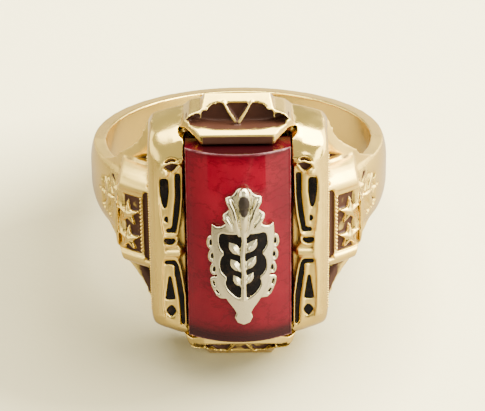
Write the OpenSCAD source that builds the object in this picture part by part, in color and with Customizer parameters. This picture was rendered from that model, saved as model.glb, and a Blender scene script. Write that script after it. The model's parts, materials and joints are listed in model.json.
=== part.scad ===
// A yellow gold ring with a rectangular domed stone, lying on its side.
// The ring's own frame has the finger along Z and the stone towards -Y, and a "reach" is a distance
// from the finger's axis towards the stone. rest() tips that frame into the ring's resting place.

/* [Finger] */
// Diameter of the finger hole
finger_d = 18.95; // [18.5:0.05:19.4]
// Thickness of the band at its middle
band_t = 1.15; // [1.1:0.01:1.2]
// Thickness of the band at its edges
rim_t = 0.88; // [0.8:0.01:0.95]
// Width of the band at the back
band_w = 3; // [2.8:0.1:3.2]

/* [Head] */
// Width of the head across its pillars
head_w = 12.1; // [12:0.05:12.2]
// Height of the pillars above the finger hole
pillar_h = 3.22; // [3.15:0.01:3.3]
// Half length of the head at its two end plates
plate_z = 9.86; // [9.8:0.01:9.9]
// Depth of the enamelled recesses
recess_t = 0.4; // [0.3:0.05:0.45]

/* [Stone] */
// Length of the stone
stone_l = 14; // [13.9:0.05:14]
// Width of the stone
stone_w = 7; // [6.9:0.05:7]
// Height of the stone's top above the finger hole
stone_h = 4.82; // [4.75:0.01:4.9]
// Rise of the stone's dome over its width
dome_h = 1.24; // [1.1:0.02:1.3]

/* [Shield] */
// Distance of the shield from the stone's centre line
shield_x = 0.25; // [0:0.05:0.3]
// Thickness of the shield's plate
shield_t = 0.32; // [0.3:0.02:0.4]

/* [Hidden] */
$fn = 96;

// Room between two pieces that are set in each other
gap = 0.03;
gold = [0.91, 0.78, 0.52];
white_gold = [0.84, 0.82, 0.74];
black = [0.06, 0.05, 0.06];
red = [0.62, 0.05, 0.08];

finger_r = finger_d / 2;

// Band: the radius its blank starts from, the lean of its rims, and the height of its outer side's arc
blank_r = finger_r - 0.6;
blank_h = 7;
lean = 3.27;
arc_h = 1.4;
rim_reach = finger_r + rim_t;
rim_z = band_w / 2 + rim_reach * tan(lean);
arc_rise = band_t - rim_t;
arc_r = (arc_rise * arc_rise + arc_h * arc_h) / (2 * arc_rise);
arc_reach = finger_r + band_t - arc_r;

// Shoulders: flaring wings, the block of a star panel and its two stars
wing_edge = 0.3;
wing_t = 0.95;
wing_z = 6.2;
wing_floor = finger_r + 0.45;
wing_foot = 0.7;
foot_z = 2.2;
block_r = finger_r + 2.85;
block_z = 2.7;
block_x = 8.58;
skirt_r = finger_r + 1.05;
skirt_z = 3.9;
panel_z = 2.1;
panel_t = 0.42;
panel_x = [6.55, 8.26];
frame_w = 0.08;
star_turn = 38.9;
star_z = 0.95;
star_r = 0.94;
star_rise = 0.5;
bead_turn = 33.2;
notch_turn = [58, 64];

// Head
pillar_reach = finger_r + pillar_h;
pillar_round = 1.1;
groove_l = 11.6;
groove_w = 0.24;
groove_step = 0.42;
scroll_r = 0.62;
collar_z = -1.05;
ridge_w = 0.4;
plate_reach = finger_r + 1.085;
end_centre = -6.03;
end_profile = [[14.8, finger_r - 0.88], [14.7, pillar_reach], [12.4, pillar_reach]];
ledge_reach = pillar_reach - 0.75;
inlay_reach = pillar_reach - 0.25;
lip_reach = finger_r + 3.475;
step_reach = finger_r + 1.775;

// Stone and its pocket
stone_reach = finger_r + stone_h;
dome_r = (stone_w * stone_w / 4 + dome_h * dome_h) / (2 * dome_h);
dome_reach = stone_reach - dome_r;
stone_bevel = 0.25;
girdle_reach = stone_reach - 2.05;
culet_reach = finger_r + 0.98;
pocket_reach = culet_reach - 0.1;
pocket_x = stone_w / 2 + 0.1;
pocket_z = stone_l / 2 + 0.15;

// Resting place: the lower end plate and the rim at the band's back touch the floor
rim_back = rim_reach * cos(lean) + rim_z * sin(lean);
rim_low = rim_z * cos(lean) - rim_reach * sin(lean);
tilt = atan((plate_z - rim_low) / (plate_reach + rim_back));
front_y = stone_reach * cos(tilt) + (stone_l / 2 - stone_bevel) * sin(tilt);
back_y = arc_reach * cos(tilt + lean) + (rim_z - arc_h) * sin(tilt + lean) + arc_r;
rest_y = (front_y - back_y) / 2;
rest_z = plate_z * cos(tilt) - plate_reach * sin(tilt);

function arc(c, r, a0, a1, n) =
    [for (i = [0:n]) c + r * [cos(a0 + (a1 - a0) * i / n), sin(a0 + (a1 - a0) * i / n)]];
function curve(p, n) =
    [for (i = [0:n], t = i / n) (1 - t) * (1 - t) * p[0] + 2 * t * (1 - t) * p[1] + t * t * p[2]];
function across(p) = concat(p, [for (i = [len(p) - 1:-1:0]) [-p[i][0], p[i][1]]]);
function up_down(p) = concat(p, [for (i = [len(p) - 1:-1:0]) [p[i][0], -p[i][1]]]);
function star(r1, r2, n) =
    [for (i = [0:2 * n - 1]) (i % 2 == 0 ? r1 : r2) * [sin(180 * i / n), cos(180 * i / n)]];

// Outline of the shoulders and the head from the side: reach, height
side_outline = up_down([[2.6, 1.8], [3.5, 2.12], [5, 2.75], [6.1, 3.35], [6.6, 3.9], [7.1, 4.38], [7.5, 4.77],
    [7.8, 5.17], [8, 5.5], [8.12, 5.9], [8.2, 6.4], [8.28, 7.1], [8.75, 8.3], [9.2, 9.05], [9.6, 9.4],
    [plate_reach, plate_z], [stone_reach + 2, plate_z]]);

// Pillars' inner edge from the front: distance from the middle, height
rail = [[pocket_x - 0.2, 5.3], [3.68, 5.3], [3.7, 3.2], [3.84, 1.8], [4.1, 0.35], [4.12, -0.4], [3.78, -0.9],
    [3.78, -1.2], [4.08, -1.55], [3.85, -2.9], [3.66, -4.3], [3.64, -6.8], [pocket_x - 0.2, -6.8]];

// Sunk field of a pillar round its enamel
inlay = [[3.4, 5.8], [3.75, 5.92], [4.1, 5.9], [4.6, 5.66], [4.95, 5.3], [5.16, 4.85], [5.32, 4.2], [5.35, 3],
    [5.22, 1.5], [5.08, 0.4], [5.02, -0.4], [4.98, -1.1], [5.14, -1.6], [5.24, -3], [5.22, -5], [5.05, -6.2],
    [4.6, -6.9], [3.4, -6.9]];

// Enamelled recesses of a pillar from the front
slot = [[3.86, 4.85], [3.86, 3.15], [4, 1.85], [4.26, 0.46], [4.9, 0.46], [4.9, 0.76], [4.52, 0.76],
    [4.34, 1.95], [4.2, 3.2], [4.2, 4.85]];
wedge = [[4.68, 4.45], [5.2, 4.45], [5.24, 3.5], [5.1, 2.6], [4.94, 2.1], [4.78, 2.6], [4.66, 3.5]];
diamond = [[4.8, 1.84], [5.02, 1.46], [4.8, 1.08], [4.58, 1.46]];
crescent = arc([4.68, 0], 0.42, 180, 360, 10);
channel = [[5.05, -1.64], [4.2, -1.64], [3.95, -3], [3.78, -4.4], [3.75, -6.45], [3.98, -6.6], [4.1, -4.7],
    [4.3, -3.1], [4.5, -1.9], [5.05, -1.9]];
arrow = [[4.72, -2.4], [5.06, -4.62], [4.38, -4.62]];
lozenge = [[4.68, -4.96], [5.04, -5.44], [4.68, -6], [4.32, -5.44]];

// Outline of the shield from the front, its scallops and the enamelled field
shield_edge = across([[1.7, 2.05], [2, 1.7], [2.1, 0.4], [2.05, -0.9], [1.85, -2.2], [1.55, -3.2],
    [1.2, -3.75], [0.66, -4.35], [0.62, -4.75], [0.3, -5.25]]);
scallops = [[1.9, 1], [1.92, -0.05], [1.84, -1.1], [1.66, -2.15], [1.36, -3.1]];
field_edge = across([[1.5, 1.5], [1.62, 0.6], [1.58, -1], [1.34, -2.3], [0.75, -3.4]]);

module rest() {
    translate([0, rest_y, rest_z]) rotate([-tilt, 0, 0]) children();
}

// An outline seen from the front, from reach a to reach b
module from_front(a, b) {
    translate([0, -a, 0]) rotate([90, 0, 0]) linear_extrude(b - a) children();
}

// An outline seen from the side, w wide
module from_side(w) {
    rotate([90, 0, -90]) translate([0, 0, -w / 2]) linear_extrude(w) children();
}

// An outline seen along the finger, h high
module from_above(h) {
    translate([0, 0, -h / 2]) mirror([0, 1, 0]) linear_extrude(h) children();
}

// On the right (s = 1) or on the left (s = -1)
module on_side(s) {
    if (s < 0) mirror([1, 0, 0]) children();
    else children();
}

module both_sides() {
    children();
    mirror([1, 0, 0]) children();
}

module both_ends() {
    children();
    mirror([0, 0, 1]) children();
}

// A solid round the finger's axis, from its half profile of radius and height
module round_finger(profile) {
    rotate_extrude() polygon(profile);
}

module band_half() {
    rotate([-lean, 0, 0]) rotate_extrude() intersection() {
        translate([blank_r, -blank_h]) square([finger_r + band_t - blank_r, blank_h + rim_z]);
        union() {
            translate([blank_r, -blank_h]) square([finger_r + band_t - blank_r, blank_h + rim_z - arc_h]);
            translate([arc_reach, rim_z - arc_h]) circle(arc_r);
        }
    }
}

module band() {
    intersection() {
        band_half();
        mirror([0, 0, 1]) band_half();
    }
}

// The flaring wings on which the shoulders and the head stand, sunk inside their rims
module wings() {
    difference() {
        intersection() {
            from_side(2 * finger_r + 4) polygon(side_outline);
            round_finger(up_down([[blank_r, plate_z], [finger_r + wing_edge, plate_z],
                [finger_r + wing_t, wing_z], [skirt_r, skirt_z], [finger_r + wing_foot, foot_z]]));
            end_turning();
            mirror([0, 0, 1]) end_turning();
        }
        intersection() {
            from_side(2 * finger_r + 4) polygon(up_down([[6.2, 2.6], [7, 3.4], [7.6, 3.9], [8.05, 4.4], [8.35, 5],
                [8.5, 5.7], [8.6, 6.4], [10, 6.4]]));
            round_finger(up_down([[wing_floor, wing_z + 1], [skirt_r + 1, wing_z + 1]]));
        }
    }
}

module star_panel() {
    difference() {
        intersection() {
            from_above(8) polygon([[5, 6.4], [5, 13], [block_x, 13], [block_x, 8.75], [8.9, 6.3]]);
            from_front(5, 13) polygon(up_down([[5, skirt_z], [block_x - 0.7, skirt_z], [block_x - 0.45, block_z],
                [block_x - 0.12, 1.4], [block_x, 0.3]]));
            round_finger(up_down(concat([[blank_r, skirt_z], [skirt_r, skirt_z]],
                [for (i = [0:6]) [skirt_r + (block_r - skirt_r) * pow(sin(15 * i), 1.2),
                    block_z + (skirt_z - block_z - 0.15) * pow(cos(15 * i), 1.2)]])));
        }
        panel_cut(panel_z + 4 * frame_w, block_r - 2 * frame_w, frame_w);
        panel_cut(panel_z, block_r - panel_t, 0);
    }
    for (s = [-1, 1])
        rotate([0, 0, star_turn]) translate([0, panel_t + 0.05 - block_r, s * star_z]) rotate([90, 0, 0]) {
            linear_extrude(0.6 * star_rise) polygon(star(star_r, 0.42 * star_r, 5));
            translate([0, 0, 0.58 * star_rise])
                linear_extrude(0.42 * star_rise, scale = 0.1) polygon(star(star_r, 0.42 * star_r, 5));
        }
    rotate([0, 0, bead_turn]) translate([0, 0.3 - block_r, 0])
        cylinder(h = 2 * panel_z - 0.4, r = 0.13, center = true);
}

// Recess of a panel: half its height, the radius of its floor, and how far it grows at its sides
module panel_cut(h, floor_r, grow) {
    intersection() {
        from_above(2 * h)
            translate([panel_x[0] - grow, 0]) square([panel_x[1] - panel_x[0] + 2 * grow, block_r]);
        round_finger(up_down([[floor_r, h + 1], [block_r + 1, h + 1]]));
    }
}

// Notches cut in the band beyond a star panel
module band_notches() {
    for (s = [-1, 1])
        rotate([0, 0, notch_turn[0]]) translate([0, -finger_r - band_t, s * 0.75]) rotate([0, s * 28, 0])
            rotate([0, 0, 45]) cube([0.42, 0.42, 1.7], center = true);
    rotate([0, 0, notch_turn[1]]) translate([0, -finger_r - band_t, 0])
        rotate([0, 0, 45]) cube([0.36, 0.36, 2.6], center = true);
}

// Half of the head's turning: its end curves from the finger hole over to the front of the pillars
module end_turning() {
    translate([0, 0, end_centre]) rotate([90, 0, 0]) rotate_extrude()
        polygon(concat([[0, 0], [end_profile[0][0], 0]], curve(end_profile, 12), [[0, pillar_reach]]));
}

module head_block() {
    intersection() {
        from_above(20) polygon(across(concat(
            arc([head_w / 2 - pillar_round, pillar_reach - pillar_round], pillar_round, 90, 0, 8),
            [[head_w / 2, finger_r - 4]])));
        end_turning();
        mirror([0, 0, 1]) end_turning();
        from_front(5, 14) polygon(across(up_down([[4.4, 9.2], [5.45, 7.95], [5.9, 7.35], [6.3, 6.3]])));
    }
}

// Lip over the stone's end, and the plate beyond it
module end_cap() {
    difference() {
        intersection() {
            from_side(9) polygon([[finger_r - 1, 6.8], [lip_reach, 6.8], [lip_reach, 7.8],
                [lip_reach - 0.55, 8.15], [plate_reach, plate_z], [finger_r - 1, plate_z]]);
            from_above(24) polygon(across([[2.45, lip_reach], [4.3, lip_reach - 2.05], [4.3, finger_r - 2]]));
            from_front(6, 14) polygon(across([[2.15, plate_z + 0.1], [2.22, 9.7], [2.42, 9.02], [3.2, 8.8],
                [3.6, 8.35], [4.4, 6.5]]));
        }
        difference() {
            from_front(step_reach, 14) polygon(across([[1.1, 9.4], [1.35, 9.08], [1.9, 9.02], [2.32, 8.65],
                [2.34, 8.3], [1.2, 8.12]]));
            for (s = [-1, 1])
                translate([s * 0.05, 0.1 - step_reach, 8.15]) rotate([0, s * 43, 0]) rotate([0, 0, 45])
                    translate([-ridge_w / 2, -ridge_w / 2, 0]) cube([ridge_w, ridge_w, 2]);
        }
        both_sides() from_front(step_reach + 0.05, 14) polygon([[2.46, 8.1], [2.46, 8.72], [3.4, 8.22]]);
    }
}

module pocket() {
    from_front(pocket_reach, 20) polygon(across(up_down([[2.35, pocket_z], [3.3, 7.85], [3.95, 7.75],
        [3.95, 7.45], [pocket_x, 7.2]])));
}

module pillar_cuts() {
    from_front(ledge_reach, 20) polygon(rail);
    from_front(inlay_reach, 20) polygon(inlay);
    for (p = [slot, wedge, diamond, crescent, channel, arrow, lozenge])
        from_front(inlay_reach - recess_t, 20) polygon(p);
    translate([4.4, -pillar_reach - 0.1, 5.45]) sphere(scroll_r);
    for (i = [0:2])
        translate([head_w / 2, pillar_round + 0.35 + groove_step * i - pillar_reach, 0]) rotate([0, 0, 45])
            cube([groove_w, groove_w, groove_l], center = true);
}

module ring_body() color(gold) rest() {
    difference() {
        union() {
            band();
            wings();
            both_sides() star_panel();
            intersection() {
                from_side(2 * finger_r) polygon(side_outline);
                union() {
                    head_block();
                    both_ends() end_cap();
                }
            }
        }
        cylinder(h = 30, r = finger_r, center = true);
        pocket();
        both_sides() {
            pillar_cuts();
            band_notches();
        }
    }
    both_sides() {
        translate([4.88, -inlay_reach, 5.1]) sphere(0.22);
        translate([3.95, -inlay_reach, collar_z]) rotate([0, 90, 0]) cylinder(h = 1.15, r = 0.24);
    }
}

module stone() color(red) rest() {
    intersection() {
        translate([0, -dome_reach, 0]) rotate_extrude() polygon(up_down([[0, stone_l / 2],
            [dome_r - stone_bevel, stone_l / 2], [dome_r, stone_l / 2 - stone_bevel]]));
        from_side(stone_w) polygon(up_down([[culet_reach, 4.9], [culet_reach + 0.9, 6.2],
            [girdle_reach, stone_l / 2], [stone_reach + 1, stone_l / 2]]));
        from_above(stone_l) polygon(across([[1.6, culet_reach], [2.7, culet_reach + 0.9],
            [stone_w / 2, girdle_reach], [stone_w / 2, stone_reach + 1]]));
    }
}

// A sheet that follows the stone's dome, from height a to height b over it
module over_dome(a, b) {
    intersection() {
        translate([0, -dome_reach, 0]) difference() {
            cylinder(h = 2 * stone_l, r = dome_r + b, center = true);
            cylinder(h = 2 * stone_l + 1, r = dome_r + a, center = true);
        }
        translate([shield_x, 0, 0]) from_front(dome_reach + 1, 20) children();
    }
}

module leaf(l, w) {
    r = (l * l + w * w) / (4 * w);
    intersection() {
        translate([r - w / 2, 0]) circle(r);
        translate([w / 2 - r, 0]) circle(r);
    }
}

// A leafy sprig, grown by g all round
module sprig(g = 0) {
    translate([0, -1]) square([0.2 + 2 * g, 3.6 + 2 * g], center = true);
    for (i = [0:2], s = [-1, 1])
        translate([s * (0.52 - 0.06 * i), 0.55 - 1.05 * i]) rotate(-s * 32)
            leaf(1.15 - 0.12 * i + 3 * g, 0.42 + 2 * g);
    translate([0, 1]) leaf(0.9 + 3 * g, 0.42 + 2 * g);
}

// Palmette over the shield: [place, length, width, turn, rise] of each leaf
module palmette() {
    for (p = [[0, 3.85, 2.1, 1.25, 0, 0.3], [0.72, 3.5, 1.35, 0.8, -24, 0.2], [1, 2.8, 1.3, 0.7, -48, 0.12]],
        s = [-1, 1])
        over_dome(gap, gap + shield_t + p[5])
            translate([s * p[0], p[1]]) rotate(s * p[4]) leaf(p[2], p[3]);
    over_dome(gap, gap + shield_t + 0.05) translate([0, 2.6]) circle(0.95);
}

module crest() color(white_gold) rest() {
    difference() {
        over_dome(gap, gap + shield_t) union() {
            polygon(shield_edge);
            for (p = scallops, s = [-1, 1]) translate([s * p[0], p[1]]) circle(0.5);
            translate([0, -4.95]) circle(0.42);
        }
        over_dome(gap + 0.12, 2) polygon(field_edge);
    }
    over_dome(gap + 0.1, gap + shield_t + 0.1) sprig();
    palmette();
}

module crest_enamel() color(black) rest() {
    over_dome(2 * gap + 0.12, gap + shield_t - 0.06) difference() {
        offset(delta = -gap) polygon(field_edge);
        sprig(gap);
    }
}

// Enamel in a pillar's recess
module fill(outline, s) {
    color(black) rest() on_side(s) from_front(inlay_reach - recess_t + gap, inlay_reach - 0.05)
        offset(delta = -gap) polygon(outline);
}

ring_body();
stone();
crest();
crest_enamel();
fill(slot, -1);  // slot_left
fill(wedge, -1);  // wedge_left
fill(diamond, -1);  // diamond_left
fill(crescent, -1);  // crescent_left
fill(channel, -1);  // channel_left
fill(arrow, -1);  // arrow_left
fill(lozenge, -1);  // lozenge_left
fill(slot, 1);  // slot_right
fill(wedge, 1);  // wedge_right
fill(diamond, 1);  // diamond_right
fill(crescent, 1);  // crescent_right
fill(channel, 1);  // channel_right
fill(arrow, 1);  // arrow_right
fill(lozenge, 1);  // lozenge_right
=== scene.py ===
import json
import math
import bpy
import bmesh
import numpy as np
from mathutils import Matrix, Vector


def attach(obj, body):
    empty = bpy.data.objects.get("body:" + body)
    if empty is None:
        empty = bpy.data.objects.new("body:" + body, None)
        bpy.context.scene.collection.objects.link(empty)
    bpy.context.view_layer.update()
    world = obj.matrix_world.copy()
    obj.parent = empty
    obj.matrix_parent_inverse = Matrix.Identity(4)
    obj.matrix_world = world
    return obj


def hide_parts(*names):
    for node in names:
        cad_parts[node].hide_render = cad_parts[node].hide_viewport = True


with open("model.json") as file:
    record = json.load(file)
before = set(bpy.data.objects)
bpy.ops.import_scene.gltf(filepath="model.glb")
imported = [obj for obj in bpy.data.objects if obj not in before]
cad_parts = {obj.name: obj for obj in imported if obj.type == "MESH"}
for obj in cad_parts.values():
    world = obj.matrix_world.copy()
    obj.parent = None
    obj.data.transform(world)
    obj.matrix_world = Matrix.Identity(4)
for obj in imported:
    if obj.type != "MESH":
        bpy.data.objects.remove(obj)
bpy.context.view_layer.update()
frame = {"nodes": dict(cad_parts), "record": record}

# The ring's own frame, in mm: x to the right, y away from the stone, z along the finger.
# A "reach" is a distance from the finger's axis towards the stone, so it is -y.
hole = frame["record"]["mounts"][0]
tilt = math.atan2(hole["axis"][1], hole["axis"][2])
fingerR = hole["dims"]["r_mm"]
mm = 0.001
ringPlace = (Matrix.Translation(hole["pos_m"]) @ Matrix.Rotation(-tilt, 4, "X")
             @ Matrix.Diagonal((mm, mm, mm, 1)))
pillarReach = fingerR + 3.22  # front of the two side pillars
pillarSide = 5.97  # just inside the pillars' outer faces


def stage(text):
    print("ring:", text)


def newObject(name, data):
    thing = bpy.data.objects.new(name, data)
    bpy.context.scene.collection.objects.link(thing)
    return thing


def meshOf(name, verts, faces, edges=()):
    mesh = bpy.data.meshes.new(name)
    mesh.from_pydata([tuple(v) for v in verts], edges, faces)
    mesh.validate()
    return mesh


def mergedCopy(node):  # a CAD node's mesh in the ring's own frame, its loose triangles joined
    mesh = frame["nodes"][node].data.copy()
    bm = bmesh.new()
    bm.from_mesh(mesh)
    bmesh.ops.remove_doubles(bm, verts=bm.verts, dist=2e-7)
    bm.to_mesh(mesh)
    bm.free()
    mesh.transform(ringPlace.inverted())
    mesh.materials.clear()
    return mesh


def joined(name, meshes):
    bm = bmesh.new()
    for mesh in meshes:
        bm.from_mesh(mesh)
    mesh = bpy.data.meshes.new(name)
    bm.to_mesh(mesh)
    bm.free()
    return mesh


def baked(thing):  # the evaluated mesh, its modifiers applied
    graph = bpy.context.evaluated_depsgraph_get()
    mesh = bpy.data.meshes.new_from_object(thing.evaluated_get(graph))
    thing.modifiers.clear()
    thing.data = mesh
    return mesh


def remeshed(thing, voxel, smoothFactor, smoothSteps):
    remesh = thing.modifiers.new("remesh", "REMESH")
    remesh.mode = "VOXEL"
    remesh.voxel_size = voxel
    smooth = thing.modifiers.new("smooth", "SMOOTH")
    smooth.factor = smoothFactor
    smooth.iterations = smoothSteps
    return baked(thing)


def thinned(thing, triangles):
    count = sum(len(p.vertices) - 2 for p in thing.data.polygons)
    if count > triangles:
        thin = thing.modifiers.new("thin", "DECIMATE")
        thin.ratio = triangles / count
        baked(thing)


def placed(thing, material):
    thing.data.transform(ringPlace)
    thing.data.materials.clear()
    thing.data.materials.append(material)
    thing.data.shade_smooth()


def points(mesh):
    spots = np.empty(len(mesh.vertices) * 3, np.float32)
    mesh.vertices.foreach_get("co", spots)
    return spots.reshape(-1, 3).astype(np.float64)


def setPoints(mesh, spots):
    mesh.vertices.foreach_set("co", spots.astype(np.float32).ravel())
    mesh.update()


def normalsOf(mesh):
    normals = np.empty(len(mesh.vertices) * 3, np.float32)
    mesh.vertices.foreach_get("normal", normals)
    return normals.reshape(-1, 3)


def edgeEnds(mesh):
    edges = np.empty(len(mesh.edges) * 2, np.int32)
    mesh.edges.foreach_get("vertices", edges)
    return edges.reshape(-1, 2).T


def average(spots, a, b, ends):  # of each point's neighbours
    return np.stack([np.bincount(a, spots[b, k], len(spots)) + np.bincount(b, spots[a, k], len(spots))
                     for k in range(3)], 1) / ends[:, None]


def hollowness(mesh, steps):  # how far each point lies under the surface round it, in mm
    spots = points(mesh)
    a, b = edgeEnds(mesh)
    ends = np.bincount(np.concatenate([a, b]), minlength=len(spots))
    soft = spots.copy()
    for _ in range(steps):
        soft = 0.5 * soft + 0.5 * average(soft, a, b, ends)
    return ((soft - spots) * normalsOf(mesh)).sum(1)


def rounder(mesh, steps, weight):  # melts the form where the weight (0 to 1 at each point) is high
    a, b = edgeEnds(mesh)
    spots = points(mesh)
    used = (weight[a] > 0) | (weight[b] > 0)
    a, b = a[used], b[used]
    ends = np.maximum(np.bincount(np.concatenate([a, b]), minlength=len(spots)), 1)
    for _ in range(steps):
        spots += (0.5 * weight)[:, None] * (average(spots, a, b, ends) - spots)
    setPoints(mesh, spots)


def keepValues(mesh, name, values):  # one number a point, for the materials
    mesh.attributes.new(name, "FLOAT", "POINT").data.foreach_set("value", values.astype(np.float32))


def ramp(value, width=1.0):  # 0 to 1 over a width
    return np.clip(value / width, 0, 1)


# --- small forms of the caster's work, in their own (across, along, out) coordinates in mm

def tube(path, radius, sides=8, closed=False):
    path = [Vector(p) for p in path]
    count = len(path)
    verts, faces = [], []
    for i, p in enumerate(path):
        before, after = path[i - 1 if closed or i else 0], path[(i + 1) % count if closed else min(i + 1, count - 1)]
        way = (after - before).normalized()
        side = way.cross(Vector((0, 0, 1)) if abs(way.z) < 0.9 else Vector((1, 0, 0))).normalized()
        top = side.cross(way)
        r = radius[i] if isinstance(radius, (list, tuple)) else radius
        for k in range(sides):
            turn = 2 * math.pi * k / sides
            verts.append(p + r * (math.cos(turn) * side + math.sin(turn) * top))
    for i in range(count if closed else count - 1):
        for k in range(sides):
            n, m = (i + 1) % count, (k + 1) % sides
            faces.append((i * sides + k, i * sides + m, n * sides + m, n * sides + k))
    if not closed:
        faces += [tuple(range(sides)), tuple(range((count - 1) * sides, count * sides))]
    return outward(meshOf("tube", verts, faces))


def outward(mesh):
    bm = bmesh.new()
    bm.from_mesh(mesh)
    bmesh.ops.remove_doubles(bm, verts=bm.verts, dist=1e-5)
    bmesh.ops.recalc_face_normals(bm, faces=bm.faces)
    bm.to_mesh(mesh)
    bm.free()
    return mesh


def leaf(x, y, length, width, rise, turn, floor=0.0, stations=14):  # pointed, with a raised midrib
    a = math.radians(turn)
    verts, faces = [], []
    for i in range(stations + 1):
        t = i / stations
        w = max(0.012, width / 2 * math.sin(math.pi * t ** 0.85) ** 0.8)
        h = 0.35 + 0.65 * math.sin(math.pi * min(1, 0.12 + t))
        for u, v in ((-w, -0.12), (-w, 0.35 * rise * h), (-0.35 * w, 0.62 * rise * h), (0, rise * h),
                     (0.35 * w, 0.62 * rise * h), (w, 0.35 * rise * h), (w, -0.12)):
            along = (t - 0.5) * length
            verts.append((x + u * math.cos(a) + along * math.sin(a), y - u * math.sin(a) + along * math.cos(a),
                          floor + v))
    for i in range(stations):
        for k in range(7):
            m = (k + 1) % 7
            faces.append((i * 7 + k, i * 7 + m, i * 7 + 7 + m, i * 7 + 7 + k))
    faces += [tuple(range(7)), tuple(range(stations * 7, stations * 7 + 7))]
    return outward(meshOf("leaf", verts, faces))


def bulb(x, y, z, rx, ry, rz):
    bm = bmesh.new()
    bmesh.ops.create_icosphere(bm, subdivisions=3, radius=1)
    bmesh.ops.transform(bm, matrix=Matrix.Translation((x, y, z)) @ Matrix.Diagonal((rx, ry, rz, 1)), verts=bm.verts)
    mesh = bpy.data.meshes.new("bulb")
    bm.to_mesh(mesh)
    bm.free()
    return mesh


def slab(outline, low, high):
    n = len(outline)
    verts = [(x, y, low) for x, y in outline] + [(x, y, high) for x, y in outline]
    faces = [tuple(range(n)), tuple(range(n, 2 * n))]
    faces += [(i, (i + 1) % n, n + (i + 1) % n, n + i) for i in range(n)]
    return outward(meshOf("slab", verts, faces))


def softened(outline):  # its corners cut
    n = len(outline)
    return [tuple(w * a + (1 - w) * b for a, b in zip(outline[i], outline[(i + 1) % n]))
            for i in range(n) for w in (0.75, 0.25)]


def mirrored(half):  # a right half, from the top down, made a closed outline
    return list(half) + [(-x, y) for x, y in reversed(half) if abs(x) > 1e-6]


def cutPlate(outer, holes, low, high, edge=0.05):  # a flat plate with openings, its edges rounded
    curve = bpy.data.curves.new("plate", "CURVE")
    curve.dimensions, curve.fill_mode = "2D", "BOTH"
    for outline in [outer] + list(holes):
        spline = curve.splines.new("POLY")
        spline.points.add(len(outline) - 1)
        for point, spot in zip(spline.points, outline):
            point.co = (*spot, 0, 1)
        spline.use_cyclic_u = True
    curve.extrude, curve.bevel_depth, curve.bevel_resolution = (high - low) / 2 - edge, edge, 2
    curve.offset = -edge
    thing = newObject("plate", curve)
    mesh = bpy.data.meshes.new_from_object(thing.evaluated_get(bpy.context.evaluated_depsgraph_get()))
    bpy.data.objects.remove(thing)
    mesh.transform(Matrix.Translation((0, 0, (low + high) / 2)))
    mesh.materials.clear()
    return outward(mesh)


def moved(mesh, way):  # every point through a function of (across, along, out)
    spots = points(mesh)
    setPoints(mesh, np.stack(way(*spots.T), 1))
    return mesh


def onFront(reach):
    return lambda u, v, h: (u, -(reach + h), v)


def bothSides(meshes):
    flipped = []
    for mesh in meshes:
        other = mesh.copy()
        other.transform(Matrix.Diagonal((-1, 1, 1, 1)))
        other.flip_normals()
        flipped.append(other)
    return list(meshes) + flipped


def engraved(mesh, lines, width, depth, chart=None):  # sinks a groove round each polyline, in space or on a chart
    chart = points(mesh) if chart is None else chart
    cut = np.zeros(len(chart))
    for line in lines:
        line = np.array(line, float)
        near = np.where(((chart > line.min(0) - width) & (chart < line.max(0) + width)).all(1))[0]
        best = np.full(len(near), 9.0)
        for p, q in zip(line[:-1], line[1:]):
            t = np.clip((chart[near] - p) @ (q - p) / ((q - p) @ (q - p)), 0, 1)
            best = np.minimum(best, np.linalg.norm(chart[near] - p - t[:, None] * (q - p), axis=1))
        cut[near] = np.maximum(cut[near], depth * ramp(1 - (best / width) ** 2))
    setPoints(mesh, points(mesh) - normalsOf(mesh) * cut[:, None])


# --- materials

def material(name, constants):
    mat = bpy.data.materials.new(name)
    mat.use_nodes = True
    shader = mat.node_tree.nodes["Principled BSDF"]
    for label, value in constants.items():
        shader.inputs[label].default_value = value
    return mat, mat.node_tree, shader


def groupTree(name, inputs, outputs):
    tree = bpy.data.node_groups.new(name, "ShaderNodeTree")
    for label, kind, value in inputs:
        socket = tree.interface.new_socket(label, in_out="INPUT", socket_type=kind)
        socket.default_value = value
    for label, kind in outputs:
        tree.interface.new_socket(label, in_out="OUTPUT", socket_type=kind)
    return tree, tree.nodes.new("NodeGroupInput"), tree.nodes.new("NodeGroupOutput")


def objectSpot(tree):
    return tree.nodes.new("ShaderNodeTexCoord").outputs["Object"]


def attribute(tree, name):
    node = tree.nodes.new("ShaderNodeAttribute")
    node.attribute_name = name
    return node.outputs["Fac"]


def noise(tree, coordinates, scale, detail=3.0, roughness=0.55):
    node = tree.nodes.new("ShaderNodeTexNoise")
    node.inputs["Scale"].default_value = scale
    node.inputs["Detail"].default_value = detail
    node.inputs["Roughness"].default_value = roughness
    tree.links.new(coordinates, node.inputs["Vector"])
    return node.outputs["Fac"]


def ranged(tree, value, low, high, toLow=0.0, toHigh=1.0):
    node = tree.nodes.new("ShaderNodeMapRange")
    for label, number in (("From Min", low), ("From Max", high), ("To Min", toLow), ("To Max", toHigh)):
        node.inputs[label].default_value = number
    tree.links.new(value, node.inputs["Value"])
    return node.outputs["Result"]


def maths(tree, operation, a, b):
    node = tree.nodes.new("ShaderNodeMath")
    node.operation = operation
    for socket, value in zip(node.inputs, (a, b)):
        if isinstance(value, (int, float)):
            socket.default_value = value
        else:
            tree.links.new(value, socket)
    return node.outputs["Value"]


def blended(tree, factor, a, b):
    node = tree.nodes.new("ShaderNodeMix")
    node.data_type = "RGBA"
    for socket, value in ((node.inputs["Factor"], factor), (node.inputs["A"], a), (node.inputs["B"], b)):
        if isinstance(value, (int, float, tuple)):
            socket.default_value = value
        else:
            tree.links.new(value, socket)
    return node.outputs["Result"]


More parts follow.
